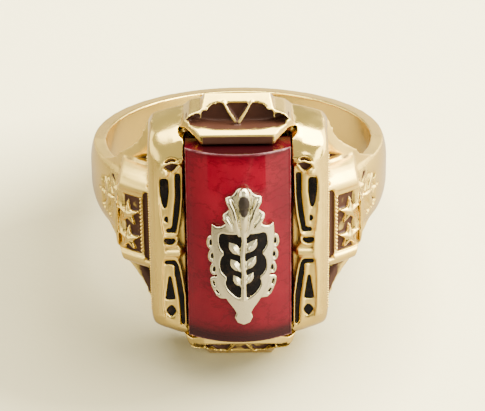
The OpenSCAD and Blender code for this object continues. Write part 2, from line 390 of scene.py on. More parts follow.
def stretched(tree, coordinates, scale, turn=(0, 0, 0)):
    node = tree.nodes.new("ShaderNodeMapping")
    node.inputs["Scale"].default_value = scale
    node.inputs["Rotation"].default_value = turn
    tree.links.new(coordinates, node.inputs["Vector"])
    return node.outputs["Vector"]


def bumped(tree, height, strength, distance):
    bump = tree.nodes.new("ShaderNodeBump")
    bump.inputs["Strength"].default_value = strength
    bump.inputs["Distance"].default_value = distance
    tree.links.new(height, bump.inputs["Height"])
    tree.links.new(bump.outputs["Normal"], tree.nodes["Principled BSDF"].inputs["Normal"])


def wornMetal():  # shared by both golds: tarnish in the recesses together with painted shade and painted dark reflections, fine scratches and a faint cloudiness
    tree, given, result = groupTree("wornMetal", [
        ("Metal", "NodeSocketColor", (0.9, 0.7, 0.4, 1)), ("Patina And Shade", "NodeSocketColor", (0.1, 0.04, 0.02, 1)),
        ("Patina And Shade Start", "NodeSocketFloat", 0.03), ("Patina And Shade Full", "NodeSocketFloat", 0.15),
        ("Polish", "NodeSocketFloat", 0.12)],
        [("Colour", "NodeSocketColor"), ("Roughness", "NodeSocketFloat"), ("Metallic", "NodeSocketFloat"),
         ("Height", "NodeSocketFloat")])
    wear = {"speckle": 0.035, "dull": 0.25, "satin": 0.24, "patinaShadeMetallic": 0.1}
    link, spot = tree.links.new, objectSpot(tree)
    speckle = ranged(tree, noise(tree, spot, 1500, 4), 0.3, 0.7, -wear["speckle"], wear["speckle"])
    # one dark colour is blended in by the point values: patina in the recesses, and painted shade and painted dark
    # reflections where the zones add to them
    patinaShadeMix = tree.nodes.new("ShaderNodeMapRange")
    link(maths(tree, "ADD", attribute(tree, "recess"), speckle), patinaShadeMix.inputs["Value"])
    link(given.outputs["Patina And Shade Start"], patinaShadeMix.inputs["From Min"])
    link(given.outputs["Patina And Shade Full"], patinaShadeMix.inputs["From Max"])
    patinaShadeMix = patinaShadeMix.outputs["Result"]
    link(ranged(tree, patinaShadeMix, 0, 1, 1, wear["patinaShadeMetallic"]), result.inputs["Metallic"])
    shade = tree.nodes.new("ShaderNodeVectorMath")
    shade.operation = "SCALE"
    link(given.outputs["Metal"], shade.inputs[0])
    link(ranged(tree, noise(tree, spot, 260, 2), 0.3, 0.7, 0.93, 1.03), shade.inputs["Scale"])
    link(blended(tree, patinaShadeMix, shade.outputs["Vector"], given.outputs["Patina And Shade"]), result.inputs["Colour"])
    rubbed = ranged(tree, noise(tree, spot, 700, 3), 0.35, 0.7, -0.03, 0.09)
    dull = maths(tree, "ADD", maths(tree, "MULTIPLY", patinaShadeMix, wear["dull"]),
                 maths(tree, "MULTIPLY", attribute(tree, "satin"), wear["satin"]))
    link(maths(tree, "ADD", maths(tree, "ADD", given.outputs["Polish"], rubbed), dull), result.inputs["Roughness"])
    hairs = [noise(tree, stretched(tree, spot, scale, turn), 1, 2)
             for scale, turn in (((300, 5200, 5200), (0.3, 0.2, 0.6)), ((5200, 5200, 340), (0.5, -0.3, 0.2)))]
    scratches = maths(tree, "MULTIPLY", maths(tree, "ADD", *hairs), 0.5)
    link(maths(tree, "ADD", scratches, noise(tree, spot, 6000, 2)), result.inputs["Height"])
    return tree


metalWear = wornMetal()


def metalMaterial(name, look):
    mat, tree, shader = material(name, {"Specular IOR Level": 0.2})
    wear = tree.nodes.new("ShaderNodeGroup")
    wear.node_tree = metalWear
    wear.inputs["Metal"].default_value = (*look["colour"], 1)
    wear.inputs["Patina And Shade"].default_value = (*look["patinaShadeColour"], 1)
    wear.inputs["Patina And Shade Start"].default_value, wear.inputs["Patina And Shade Full"].default_value = look["patinaShadeRange"]
    wear.inputs["Polish"].default_value = look["polish"]
    for output, label in (("Colour", "Base Color"), ("Roughness", "Roughness"), ("Metallic", "Metallic")):
        tree.links.new(wear.outputs[output], shader.inputs[label])
    bumped(tree, wear.outputs["Height"], look["scratches"], 0.00001)
    return mat


# the tarnish colour is patina in the hollows, and also painted shade and painted dark reflection on the zones that
# call for it
yellowGold = metalMaterial("yellowGold", {"colour": (0.955, 0.70, 0.165), "patinaShadeColour": (0.046, 0.017, 0.009),
                                          "patinaShadeRange": (0.025, 0.12), "polish": 0.14, "scratches": 0.25})
whiteGold = metalMaterial("whiteGold", {"colour": (0.86, 0.785, 0.47), "patinaShadeColour": (0.02, 0.014, 0.01),
                                        "patinaShadeRange": (0.02, 0.09), "polish": 0.12, "scratches": 0.25})


def enamelMaterial():
    look = {"black": (0.0022, 0.0018, 0.0018, 1), "worn": (0.018, 0.009, 0.005, 1)}
    mat, tree, shader = material("blackEnamel", {"Specular IOR Level": 0.15})
    spot = objectSpot(tree)
    worn = ranged(tree, noise(tree, spot, 1900, 4), 0.52, 0.75)
    tree.links.new(blended(tree, worn, look["black"], look["worn"]), shader.inputs["Base Color"])
    tree.links.new(ranged(tree, noise(tree, spot, 900, 3), 0.3, 0.7, 0.16, 0.4), shader.inputs["Roughness"])
    bumped(tree, noise(tree, spot, 1300, 3), 0.2, 0.00002)
    return mat


blackEnamel = enamelMaterial()


def stoneMaterial():  # cloudy red, with painted shade darkening it towards its sides and ends and below, its edges chipped pale
    look = {"red": (0.12, 0.0015, 0.0095, 1), "bright": (0.17, 0.003, 0.0125, 1), "deep": (0.016, 0.0016, 0.0022, 1),
            "chip": (0.33, 0.15, 0.15, 1), "vein": 0.35}
    mat, tree, shader = material("redStone", {"Specular IOR Level": 0.25})
    spot = objectSpot(tree)
    body = blended(tree, ranged(tree, noise(tree, spot, 260, 5, 0.6), 0.38, 0.68), look["red"], look["bright"])
    # the depth value is painted shade
    body = blended(tree, attribute(tree, "depth"), body, look["deep"])
    streaks = noise(tree, stretched(tree, spot, (420, 420, 900), (0.2, 0.4, 0.3)), 1, 5, 0.6)
    vein = maths(tree, "SUBTRACT", ranged(tree, streaks, 0.47, 0.5), ranged(tree, streaks, 0.5, 0.53))
    body = blended(tree, maths(tree, "MULTIPLY", vein, look["vein"]), body, look["deep"])
    chips = maths(tree, "MULTIPLY", attribute(tree, "edge"),
                  ranged(tree, noise(tree, spot, 1700, 5, 0.7), 0.44, 0.6))
    tree.links.new(blended(tree, chips, body, look["chip"]), shader.inputs["Base Color"])
    tree.links.new(ranged(tree, chips, 0, 1, 0.05, 0.5), shader.inputs["Roughness"])
    bumped(tree, chips, 0.5, 0.00004)
    return mat


redStone = stoneMaterial()

# --- the casting: band, shoulders, head and end caps, with the ornament that the caster worked into it

casting = {"voxel": 0.075, "smoothFactor": 0.5, "smoothSteps": 5, "triangles": 190000, "recessSteps": 60,
           "roundSteps": 120, "wire": 0.075, "ball": 0.32, "crown": 0.38, "starDrop": 0.4, "panelRise": 0.34,
           "panelGroove": 0.32, "strokeWidth": 0.62, "strokeDepth": 0.13, "footWidth": 0.06, "footDepth": 0.05}


def pillarOrnament():  # on the right pillar, across and along from the ring's middle, out from the enamel's ground
    w = casting["wire"]
    forms = [
        tube([(3.75, 5.4, 0.1), (3.76, 4.4, 0.1), (3.79, 3.3, 0.1), (3.9, 1.95, 0.1), (4.16, 0.42, 0.1),
              (4.45, 0.2, 0.08), (4.95, 0.24, 0.06)], w),
        tube([(5.1, -1.42, 0.06), (4.3, -1.42, 0.08), (4.02, -2.0, 0.08), (3.86, -3, 0.08), (3.71, -4.3, 0.08),
              (3.69, -6.6, 0.08)], w),
        tube([(5.16, 4.7, 0.2), (5.16, 5.2, 0.24), (4.9, 5.62, 0.26), (4.4, 5.8, 0.26), (3.85, 5.72, 0.24)], 0.09),
        tube([(4.5, 4.93, 0.0), (4.3, 5.02, 0.1), (4.12, 5.2, 0.16), (4.0, 5.42, 0.16), (3.78, 5.55, 0.12)],
             [0.07, 0.12, 0.13, 0.11, 0.09]),
        bulb(4.88, 4.98, 0.14, casting["ball"], casting["ball"], casting["ball"]),
        slab([(4.26, 4.8), (4.62, 4.8), (4.6, 3.5), (4.74, 2.4), (4.74, 1.0), (4.5, 0.98), (4.42, 2), (4.28, 3.2)],
             -0.2, 0.1),
        slab([(4.38, -1.98), (4.64, -1.98), (4.36, -4.3), (4.3, -6.5), (4.12, -6.5), (4.18, -4.7), (4.38, -3.1)],
             -0.2, 0.08),
    ]
    bow = [(4.68 + 0.52 * math.cos(a), 0.02 + 0.52 * math.sin(a), 0.06)
           for a in (math.pi * (1 + i / 12) for i in range(13))]
    forms.append(tube(bow, w))
    return [moved(form, onFront(pillarReach - 0.25)) for form in forms]


def cornerPads():  # the metal round the stone's corners, under the lips
    outline = [(2.3, 7.14), (3.8, 7.14), (3.7, 7.7), (3.0, 7.95), (2.3, 7.95)]
    return [moved(slab([(x, s * z) for x, z in outline], -1.5, 0), onFront(fingerR + 1.5)) for s in (-1, 1)]


# the hollow in each end cap, seen from the front as its upper and its lower edge, and the sharp ridges left in it
hollowTop = [(0, 9.33), (1.3, 9.32), (1.7, 9.25), (1.98, 9.0), (2.34, 8.96), (2.48, 8.84), (2.95, 8.76), (3.55, 8.48)]
hollowFoot = [(0, 8.03), (1.5, 8.05), (2.45, 8.15), (2.95, 8.3)]
hollowReach = fingerR + 1.45


def cutCaps(mesh):
    thing = newObject("capBase", mesh)
    outline = mirrored(hollowTop + hollowFoot[::-1])
    cutter = joined("capCut", [moved(slab([(x, s * z) for x, z in outline], 0, 3), onFront(hollowReach))
                               for s in (-1, 1)])
    tool = newObject("capCut", cutter)
    cut = thing.modifiers.new("cut", "BOOLEAN")
    cut.object, cut.operation, cut.solver = tool, "DIFFERENCE", "EXACT"
    mesh = baked(thing)
    for extra in (tool, thing):
        bpy.data.objects.remove(extra)
    return mesh


def capRidges():
    forms = []
    for s in (-1, 1):
        lines = [[(0.05, 8.12, 0.75), (0.5, 8.75, 0.52), (0.98, 9.5, 0.12)], [(2.42, 8.95, 0.5), (2.46, 8.5, 0.75)]]
        for line, radius in zip(lines, ([0.13, 0.11, 0.1], 0.075)):
            forms.append(moved(tube([(x, s * z, h) for x, z, h in line], radius), onFront(hollowReach)))
        forms.append(moved(slab([(0.02, s * 8.1), (0.94, s * 9.4), (1.02, s * 9.4), (0.1, s * 8.1)], -0.1, 0.2),
                           onFront(hollowReach)))
    return forms


def crowned(mesh):  # the pillars' fronts fall away a little towards their outer edges
    spots = points(mesh)
    x, reach, z = np.abs(spots[:, 0]), -spots[:, 1], np.abs(spots[:, 2])
    fall = casting["crown"] * ramp(x - 4.95, 1.15) ** 1.5 * ramp(reach - pillarReach + 1.1, 0.9)
    spots[:, 1] += fall * ramp(7 - z, 0.8)
    setPoints(mesh, spots)


def panelled(mesh):  # the stars sit low in their panels and run out into its outer border; a groove inside it
    spots = points(mesh)
    x, reach, z = np.abs(spots[:, 0]), -spots[:, 1], spots[:, 2]
    ring = np.hypot(x, reach)
    inside = (reach > 6.5) & (ring > fingerR + 1.5)
    spots[:, 2] -= casting["starDrop"] * inside * ramp(x - 6.62, 0.1) * ramp(2.4 - np.abs(z), 0.8)
    least = fingerR + 2.3 + casting["panelRise"] * ramp(x - 7.6, 0.25)
    floored = (ring > fingerR + 2.15) & (ring < fingerR + 2.7) & (x > 7.6) & (x < 8.3) & (np.abs(z) < 2.2)
    rise = np.where(floored & (reach > 6.5), np.maximum(ring, least), ring)
    groove = inside * (ring > fingerR + 2.2) * (np.abs(z) < 2.6) * ramp(x - 6.06, 0.06) * ramp(6.54 - x, 0.08)
    spots[:, :2] *= ((rise - casting["panelGroove"] * groove) / ring)[:, None]
    setPoints(mesh, spots)


chartHeight = 5.5  # degrees round the band that are as long as 1 mm


def bandChart(mesh):  # degrees off the stone, height on the same scale, and only the outer side of the band
    spots = points(mesh)
    x, reach = np.abs(spots[:, 0]), -spots[:, 1]
    outer = np.where(np.hypot(x, reach) > fingerR + 0.6, 0, 9)
    return np.stack([np.degrees(np.arctan2(x, reach)), spots[:, 2] * chartHeight, outer], 1)


def leafStrokes():  # a midrib and four pairs of veins, as degrees off the stone and mm up
    strokes = [[(51.5, 0), (60, 0.15), (67.5, 0.1)]]
    for turn, length in ((52.5, 1.75), (55.5, 1.6), (58.5, 1.3), (61.5, 0.95)):
        strokes += [[(turn, s * 0.2), (turn + 1.2, s * 0.65 * length), (turn + 3.6, s * length)] for s in (-1, 1)]
    return [[(turn, z * chartHeight, 0) for turn, z in stroke] for stroke in strokes]


ornament = bothSides(pillarOrnament() + cornerPads() + capRidges())
castingPiece = newObject("casting", joined("casting", [cutCaps(mergedCopy("ring_body"))] + ornament))
remeshed(castingPiece, casting["voxel"], casting["smoothFactor"], casting["smoothSteps"])
footLines = [[(s * x, -(pillarReach - 0.15), z) for z in (0.95, 1.6)] for s in (-1, 1) for x in (4.56, 4.66)]
engraved(castingPiece.data, footLines, casting["footWidth"], casting["footDepth"])
crowned(castingPiece.data)
panelled(castingPiece.data)
engraved(castingPiece.data, leafStrokes(), casting["strokeWidth"], casting["strokeDepth"],
         bandChart(castingPiece.data))


def endWeight(spots):  # the pillars' ends and outer edges, which are worn round, but not their enamelled fronts
    x, reach, z = np.abs(spots[:, 0]), -spots[:, 1], np.abs(spots[:, 2])
    return ramp(z - 5.9, 0.5) * ramp(x - 4.3, 0.4) * ramp(reach - fingerR, 0.4) * ramp(6.3 - x, 0.1)


rounder(castingPiece.data, casting["roundSteps"], endWeight(points(castingPiece.data)))

# how much each zone adds to the value that darkens the gold: patina on sunk grounds, painted shade in the valleys and
# on the lower shoulders and wings, and a painted dark reflection on the top lip
patinaShadeAmounts = {"panel": 0.09, "step": 0.15, "hollow": 0.06, "lip": 0.35, "flank": 0.3, "valley": 0.03, "under": 0.06,
             "crease": 0.08, "wing": 0.24, "leafTop": 0.13}


def patinaShadeGrounds(spots):  # patina on the star panels, cap hollows, scroll hollows and the crease; a painted dark reflection on the lip; painted shade in the valleys, under the shoulders and on the lower wings; darker grounds behind the pillars and round the top leaf
    x, reach, height = np.abs(spots[:, 0]), -spots[:, 1], spots[:, 2]
    z, ring, turn = np.abs(height), np.hypot(x, reach), np.degrees(np.arctan2(x, reach))
    behind = (x > pillarSide) & (reach < pillarReach - 1.3)
    capSlope = fingerR + 2.905 - (z - 8.15) / 0.93
    inHollow = (z > np.interp(x, *np.array(hollowFoot + hollowTop[-1:]).T) - 0.06 - 0.14 * (x > 2.2)) \
        & (z < np.interp(x, *np.array(hollowTop).T) + 0.05) & (x < 3.45) & (reach > fingerR + 1.3)
    zones = {
        "panel": (x > 6.5) * (z < 2.3) * (reach > 7) * ramp(fingerR + 2.6 - ring, 0.12) * ramp(7.9 - x, 0.2),
        "step": inHollow * ramp(capSlope - reach, 0.08) * np.where(height > 0, 1, 0.45),
        "hollow": (np.hypot(x - 4.4, z - 5.4) < 0.66) * ramp(pillarReach - 0.26 - reach, 0.1)
                  * (reach > pillarReach - 1),
        # painted dark reflection on the top lip
        "lip": (x < 2.3) * (height > 7.1) * (z < 7.74) * (reach > fingerR + 3.3),
        "flank": behind * (x < 6.52) * (ring > fingerR + 1.9) * ramp(2.5 - z, 0.2),
        # painted shade in the valley between the head's wall and the wing
        "valley": (x > pillarSide) * (x < 6.5) * (z < 7.2) * (reach < pillarReach - 1.5) * (reach > fingerR),
        # painted shade on the lower shoulder below the panel
        "under": (height < -2.6) * (x > 6) * (ring > fingerR + 1.2) * ramp(7.4 - x, 0.6),
        "crease": (ring > fingerR + 1) * ramp(1 - np.abs(z - 4.4) / 0.4) * ramp(7.7 - x, 1.2) * (x > 6.1)
                  * (height > 0),
        # painted shade on the lower wing
        "wing": behind * (height < -3.35) * (ring > fingerR + 0.75) * ramp(7.9 - x - 0.35 * (z - 3.3), 0.8)
                * ramp(7 - z, 1.2),
        "leafTop": ramp(1.3 - np.hypot((turn - 56.8) / 2.8, (height - 1.65) / 0.55)) * (ring > fingerR + 0.6),
    }
    return sum(patinaShadeAmounts[name] * zone for name, zone in zones.items())


def brushedParts(spots):  # the pillars' fronts, and the shoulders a little less
    x, reach, z = np.abs(spots[:, 0]), -spots[:, 1], np.abs(spots[:, 2])
    fronts = ramp(x - 3.6, 0.3) * ramp(reach - fingerR - 1.2, 0.5) * ramp(6.3 - z, 1.2)
    return np.maximum(fronts, 0.8 * ((x > 6.05) & (z > 2.1)))


spots = points(castingPiece.data)
# patina in the hollows, plus painted shade and a painted dark reflection by zone
keepValues(castingPiece.data, "recess", hollowness(castingPiece.data, casting["recessSteps"]) + patinaShadeGrounds(spots))
keepValues(castingPiece.data, "satin", brushedParts(spots))
thinned(castingPiece, casting["triangles"])
placed(castingPiece, yellowGold)
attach(castingPiece, "root")
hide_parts("ring_body")
stage(f"casting {len(castingPiece.data.polygons)} faces")

# --- milgrain: rows of tiny beads down the pillars' outer edges and beside the stars

milgrain = {"bead": 0.075, "spacing": 0.185, "side": 6.04, "reach": pillarReach - 1.12, "panelBead": 0.11,
            "panelSpacing": 0.27, "panelTurn": 33.2, "panelReach": fingerR + 2.68}


def beadTree():
    tree = bpy.data.node_groups.new("beadRow", "GeometryNodeTree")
    tree.interface.new_socket("Geometry", in_out="INPUT", socket_type="NodeSocketGeometry")
    for label in ("Bead Radius", "Spacing"):
        tree.interface.new_socket(label, in_out="INPUT", socket_type="NodeSocketFloat")
    tree.interface.new_socket("Finish", in_out="INPUT", socket_type="NodeSocketMaterial")
    tree.interface.new_socket("Geometry", in_out="OUTPUT", socket_type="NodeSocketGeometry")
    given, result = tree.nodes.new("NodeGroupInput"), tree.nodes.new("NodeGroupOutput")
    path, along, bead = (tree.nodes.new(k) for k in ("GeometryNodeMeshToCurve", "GeometryNodeCurveToPoints",
                                                     "GeometryNodeMeshUVSphere"))
    put, real, smooth, finish = (tree.nodes.new(k) for k in (
        "GeometryNodeInstanceOnPoints", "GeometryNodeRealizeInstances", "GeometryNodeSetShadeSmooth",
        "GeometryNodeSetMaterial"))
    along.mode = "LENGTH"
    bead.inputs["Segments"].default_value, bead.inputs["Rings"].default_value = 8, 5
    join = tree.links.new
    join(given.outputs["Geometry"], path.inputs["Mesh"])
    join(path.outputs["Curve"], along.inputs["Curve"])
    join(given.outputs["Spacing"], along.inputs["Length"])
    join(given.outputs["Bead Radius"], bead.inputs["Radius"])
    join(along.outputs["Points"], put.inputs["Points"])
    join(bead.outputs["Mesh"], put.inputs["Instance"])
    join(put.outputs["Instances"], real.inputs["Geometry"])
    join(real.outputs["Geometry"], smooth.inputs["Geometry"])
    join(smooth.outputs["Geometry"], finish.inputs["Geometry"])
    join(given.outputs["Finish"], finish.inputs["Material"])
    join(finish.outputs["Geometry"], result.inputs["Geometry"])
    return tree


beadRow = beadTree()


def beads(name, lines, radius, spacing):
    verts, edges = [], []
    for line in lines:
        edges += [(len(verts) + i, len(verts) + i + 1) for i in range(len(line) - 1)]
        verts += line
    thing = newObject(name, meshOf(name, verts, [], edges))
    nodes = thing.modifiers.new("beadRow", "NODES")
    nodes.node_group = beadRow
    for item in beadRow.interface.items_tree:
        if item.in_out == "INPUT" and item.name in ("Bead Radius", "Spacing", "Finish"):
            nodes[item.identifier] = {"Bead Radius": radius, "Spacing": spacing, "Finish": yellowGold}[item.name]
    baked(thing)
    placed(thing, yellowGold)
    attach(thing, "root")


def sideLine(s):  # down the pillar's outer edge
    return [(s * milgrain["side"], -milgrain["reach"], z) for z in np.linspace(5.7, -5.7, 40)]


def panelLine(s):  # beside the stars, on the panel's ground
    turn, r = math.radians(milgrain["panelTurn"]), milgrain["panelReach"]
    return [(s * r * math.sin(turn), -r * math.cos(turn), z) for z in np.linspace(1.95, -1.95, 12)]


beads("pillarBeads", [sideLine(s) for s in (-1, 1)], milgrain["bead"], milgrain["spacing"])
beads("panelBeads", [panelLine(s) for s in (-1, 1)], milgrain["panelBead"], milgrain["panelSpacing"])
stage("milgrain")

# --- the stone: a long rectangle, domed across, its lower half stepped in

stoneShape = {"width": 7.0, "length": 14.0, "top": 4.82, "dome": 1.24, "girdle": 3.0, "foot": 0.98, "edge": 0.14,
              "edgeDrop": 0.3, "steps": ((0.9, 0.4), (1.9, 0)), "sharp": 24, "columns": 56, "rows": 30}
domeR = (stoneShape["width"] ** 2 / 4 + stoneShape["dome"] ** 2) / (2 * stoneShape["dome"])
domeReach = fingerR + stoneShape["top"] - domeR


def domed(x, out=0.0):
    return domeReach + np.sqrt((domeR + out) ** 2 - np.square(x))


def stoneMesh():
    s = stoneShape
    n, m, e = s["columns"], s["rows"], s["edge"]
    hw, hl = s["width"] / 2 - e, s["length"] / 2 - e
    xs = [hw * math.sin(math.pi / 2 * (2 * i / n - 1)) for i in range(n + 1)]
    zs = [hl * math.sin(math.pi / 2 * (2 * j / m - 1)) for j in range(m + 1)]
    verts = [(x, -float(domed(x)), z) for z in zs for x in xs]
    faces = [(j * (n + 1) + i, j * (n + 1) + i + 1, (j + 1) * (n + 1) + i + 1, (j + 1) * (n + 1) + i)
             for j in range(m) for i in range(n)]
    border = list(range(n + 1)) + [j * (n + 1) + n for j in range(1, m + 1)]
    border += [m * (n + 1) + i for i in range(n - 1, -1, -1)] + [j * (n + 1) for j in range(m - 1, 0, -1)]
    girdle, foot = fingerR + s["top"] - s["girdle"], fingerR + s["foot"]
    # each level down the side: how far out it goes, its reach, and if it has none its drop below the dome
    levels = [(e * math.sin(a), None, e * (1 - math.cos(a))) for a in (math.pi / 10 * q for q in range(1, 6))]
    levels += [(e, None, s["edgeDrop"]), (e, girdle, 0)] + [(e - into, foot + up, 0) for into, up in s["steps"]]
    last = border
    for grow, reach, drop in levels:
        ring = []
        for k in border:
            x, _, z = verts[k]
            if grow > 0:
                px = x + math.copysign(grow, x) if abs(x) > hw - 1e-6 else x
                pz = z + math.copysign(grow, z) if abs(z) > hl - 1e-6 else z
            else:
                px, pz = x * (hw + grow) / hw, z * (hl + 1.25 * grow) / hl
            ring.append(len(verts))
            verts.append((px, -(float(domed(x)) - drop if reach is None else reach), pz))
        count = len(ring)
        faces += [(last[i], ring[i], ring[(i + 1) % count], last[(i + 1) % count]) for i in range(count)]
        last = ring
    faces.append(tuple(reversed(last)))
    return outward(meshOf("domedStone", verts, faces))


def stoneMarks(mesh):  # how worn each point's edge is, and how much painted shade darkens the red there
    s = stoneShape
    spots = points(mesh)
    x, z = np.abs(spots[:, 0]), spots[:, 2]
    side, end = s["width"] / 2 - x, s["length"] / 2 - np.abs(z)
    under = domed(np.minimum(x, s["width"] / 2)) + spots[:, 1]
    rim = np.hypot(np.minimum(end, side * 2) - 0.04, under - 0.04)
    worn = ramp(1 - rim / 0.1) * np.clip((x - 1.2) / 1.6, 0.1, 1)
    # painted shade: darker at the sides, the ends, further down, most at the lower end and under the dome's edge
    deep = np.maximum(ramp(1 - side / 1.7) * 0.5, ramp(1 - (end - 0.1) / 0.9) ** 1.5 * 0.7)
    deep = np.maximum(deep, ramp(2 - z, 9) * 0.5)
    deep = np.maximum(deep, ramp(1.75 - end, 1.1) * (z < 0))
    deep = np.maximum(deep, ramp(under, 0.12) * (1 - 0.4 * ramp(x - 2.2)))
    keepValues(mesh, "edge", worn)
    keepValues(mesh, "depth", deep)
    bm = bmesh.new()
    bm.from_mesh(mesh)
    for line in bm.edges:
        line.smooth = line.calc_face_angle(0) < math.radians(s["sharp"])
    for face in bm.faces:
        face.smooth = True
    bm.to_mesh(mesh)
    bm.free()


stonePiece = newObject("domedStone", stoneMesh())
stoneMarks(stonePiece.data)
stonePiece.data.transform(ringPlace)
stonePiece.data.materials.append(redStone)
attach(stonePiece, "root")
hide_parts("stone")
stage("stone")

# --- the shield on the stone, drawn flat and bent over the dome: across, along, out from the stone's face

shield = {"middle": 0.27, "voxel": 0.045, "smoothSteps": 3, "triangles": 150000, "recessSteps": 30, "gap": 0.03,
          "plate": 0.34, "ground": 0.08, "enamel": 0.24, "wire": 0.12, "budDarkReflection": 0.3, "smoothFactor": 0.5,
          "enamelVoxel": 0.06, "enamelFactor": 0.3}
bodyHalf = [(0, 2.2), (1.1, 2.15), (1.45, 1.9), (1.75, 1.86), (2.06, 2.06), (2.1, 1.3), (2.06, 0.4), (1.96, -0.5),
            (1.82, -1.5), (1.62, -2.4), (1.34, -3.15), (1.02, -3.7), (0.66, -4.2), (0.5, -4.5), (0.62, -4.85),
            (0.42, -5.25), (0, -5.42)]
fieldHalf = [(0, 1.4), (0.9, 1.34), (1.52, 1.45), (1.62, 0.9), (1.55, 0.35), (1.22, -0.08), (1.52, -0.5),
             (1.56, -1.1), (1.42, -1.55), (1.06, -1.85), (1.22, -2.3), (1.02, -2.8), (0.55, -3.25), (0.25, -3.42),
             (0, -3.46)]
loops = [(2.14, 0.62, 0.19, 0.42, 4), (2.06, -0.36, 0.19, 0.40, 7), (1.94, -1.32, 0.19, 0.38, 10)]
hipHalf = [(1.6, -1.85), (2.08, -1.92), (2.24, -2.1), (2.2, -2.5), (2.05, -2.9), (1.85, -3.3), (1.6, -3.5),
           (1.2, -3.5), (1.1, -3.0)]
hipSlots = [[(1.98, -2.16), (2.08, -2.2), (1.98, -2.62), (1.88, -2.58)],
            [(1.8, -2.84), (1.9, -2.9), (1.7, -3.22), (1.6, -3.14)]]


def ellipse(x, y, rx, ry, turn, count=20):
    a = -math.radians(turn)
    return [(x + rx * math.cos(t) * math.cos(a) - ry * math.sin(t) * math.sin(a),
             y + rx * math.cos(t) * math.sin(a) + ry * math.sin(t) * math.cos(a))
            for t in (2 * math.pi * i / count for i in range(count))]


def shieldForms():
    d, w = shield, shield["wire"]
    body, field = mirrored(bodyHalf), mirrored(fieldHalf)
    forms = [slab(body, 0, d["ground"]), cutPlate(body, [softened(field)], 0, d["plate"])]
    for s in (-1, 1):
        for x, y, rx, ry, turn in loops:
            ring = ellipse(s * x, y, rx, ry, -s * turn)
            forms += [tube([(*p, 0.16) for p in ring], w, 8, True), slab(ring, 0, 0.06)]
        hip = [(s * x, y) for x, y in hipHalf]
        forms.append(cutPlate(hip, [[(s * x, y) for x, y in slot] for slot in hipSlots], 0, 0.27))
    # finial: a fluted bud between two pairs of rolled leaves
    outline = mirrored([(0.08, 4.84), (0.42, 4.66), (0.62, 4.3), (0.84, 4.12), (1.2, 4.06), (1.22, 3.7), (0.98, 3.25),
                        (1.1, 2.98), (1.4, 2.8), (1.4, 2.45), (1.2, 2.1), (1.2, 1.8)])
    forms += [slab(softened([(x + 0.08, y) for x, y in outline]), 0, 0.26),
              bulb(0.12, 3.95, 0.3, 0.48, 0.88, 0.56), bulb(0.1, 2.7, 0.28, 0.34, 1.3, 0.46)]
    for s in (-1, 1):
        forms += [
            tube([(0.1 + s * 1.05, 4.0, 0.14), (0.1 + s * 0.98, 3.72, 0.26), (0.09 + s * 0.74, 3.2, 0.3),
                  (0.07 + s * 0.56, 2.5, 0.34), (0.05 + s * 0.42, 1.75, 0.3), (0.03 + s * 0.25, 1.2, 0.22)],
                 [0.14, 0.24, 0.22, 0.2, 0.18, 0.12], 10),
            tube([(0.08 + s * 1.3, 2.74, 0.12), (0.07 + s * 1.2, 2.5, 0.22), (0.06 + s * 0.98, 2.15, 0.26),
                  (0.05 + s * 0.82, 1.8, 0.24), (0.05 + s * 0.72, 1.5, 0.2)], [0.14, 0.22, 0.2, 0.16, 0.1], 10)]
    # leafy sprig on the enamel
    forms.append(tube([(0.04, 1.8, 0.3), (0.08, 0.9, 0.3), (-0.04, -0.3, 0.28), (0.04, -1.6, 0.26), (0, -3.6, 0.24)],
                      [0.24, 0.2, 0.19, 0.18, 0.24]))
    for x, y, length, width, turn in ((0.62, 0.42, 1.35, 0.66, 36), (0.56, -0.82, 1.3, 0.62, 34),
                                      (0.44, -1.98, 1.15, 0.52, 30)):
        forms += [leaf(s * x, y + 0.08 * s, length, width, 0.26, s * turn, 0.16) for s in (-1, 1)]
    return forms


def overDome(u, v, h):
    x = u + shield["middle"]
    return x, -domed(x, h + shield["gap"]), v


shieldPiece = newObject("shield", joined("shield", shieldForms()))
remeshed(shieldPiece, shield["voxel"], shield["smoothFactor"], shield["smoothSteps"])
spots = points(shieldPiece.data)  # a painted dark reflection darkens the finial's bud
bud = ramp(1.3 - np.hypot((spots[:, 0] - 0.1) / 0.4, (spots[:, 1] - 3.6) / 0.8)) * (spots[:, 2] > 0.3)
keepValues(shieldPiece.data, "recess", hollowness(shieldPiece.data, shield["recessSteps"]) + shield["budDarkReflection"] * bud)
moved(shieldPiece.data, overDome)
thinned(shieldPiece, shield["triangles"])
placed(shieldPiece, whiteGold)
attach(shieldPiece, "root")
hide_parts("crest")

enamelForms = [slab(softened(mirrored([(x * 1.03, y) for x, y in fieldHalf])), 0.06, shield["enamel"])]
for side in (-1, 1):
    enamelForms += [slab(ellipse(side * x, y, rx, ry, -side * turn), 0.02, 0.15) for x, y, rx, ry, turn in loops]
    enamelForms += [slab([(side * x, y) for x, y in slot], 0.05, 0.2) for slot in hipSlots]
enamelPiece = newObject("shieldEnamel", joined("shieldEnamel", enamelForms))
remeshed(enamelPiece, shield["enamelVoxel"], shield["enamelFactor"], 1)
moved(enamelPiece.data, overDome)
placed(enamelPiece, blackEnamel)
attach(enamelPiece, "root")
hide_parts("crest_enamel")
stage(f"shield {len(shieldPiece.data.polygons)} faces")

for name, node in frame["nodes"].items():  # the pillars' enamel keeps its solids
    if name not in ("ring_body", "stone", "crest", "crest_enamel"):
        node.data.materials.clear()
        node.data.materials.append(blackEnamel)

# --- floor, light and camera

# metres; a painted shadow dims the paper in an oval to the left of the ring and in front of it
floorLook = {"size": 3, "pale": (0.84, 0.785, 0.47, 1), "paintedShadowTone": (0.31, 0.282, 0.165, 1), "ovalMiddle": (-0.01, -0.006),
             "ovalSize": (0.019, 0.015), "ovalFade": (0.6, 1.3), "shadowShare": 0.9}
matt = {"Roughness": 0.9, "Specular IOR Level": 0.1}


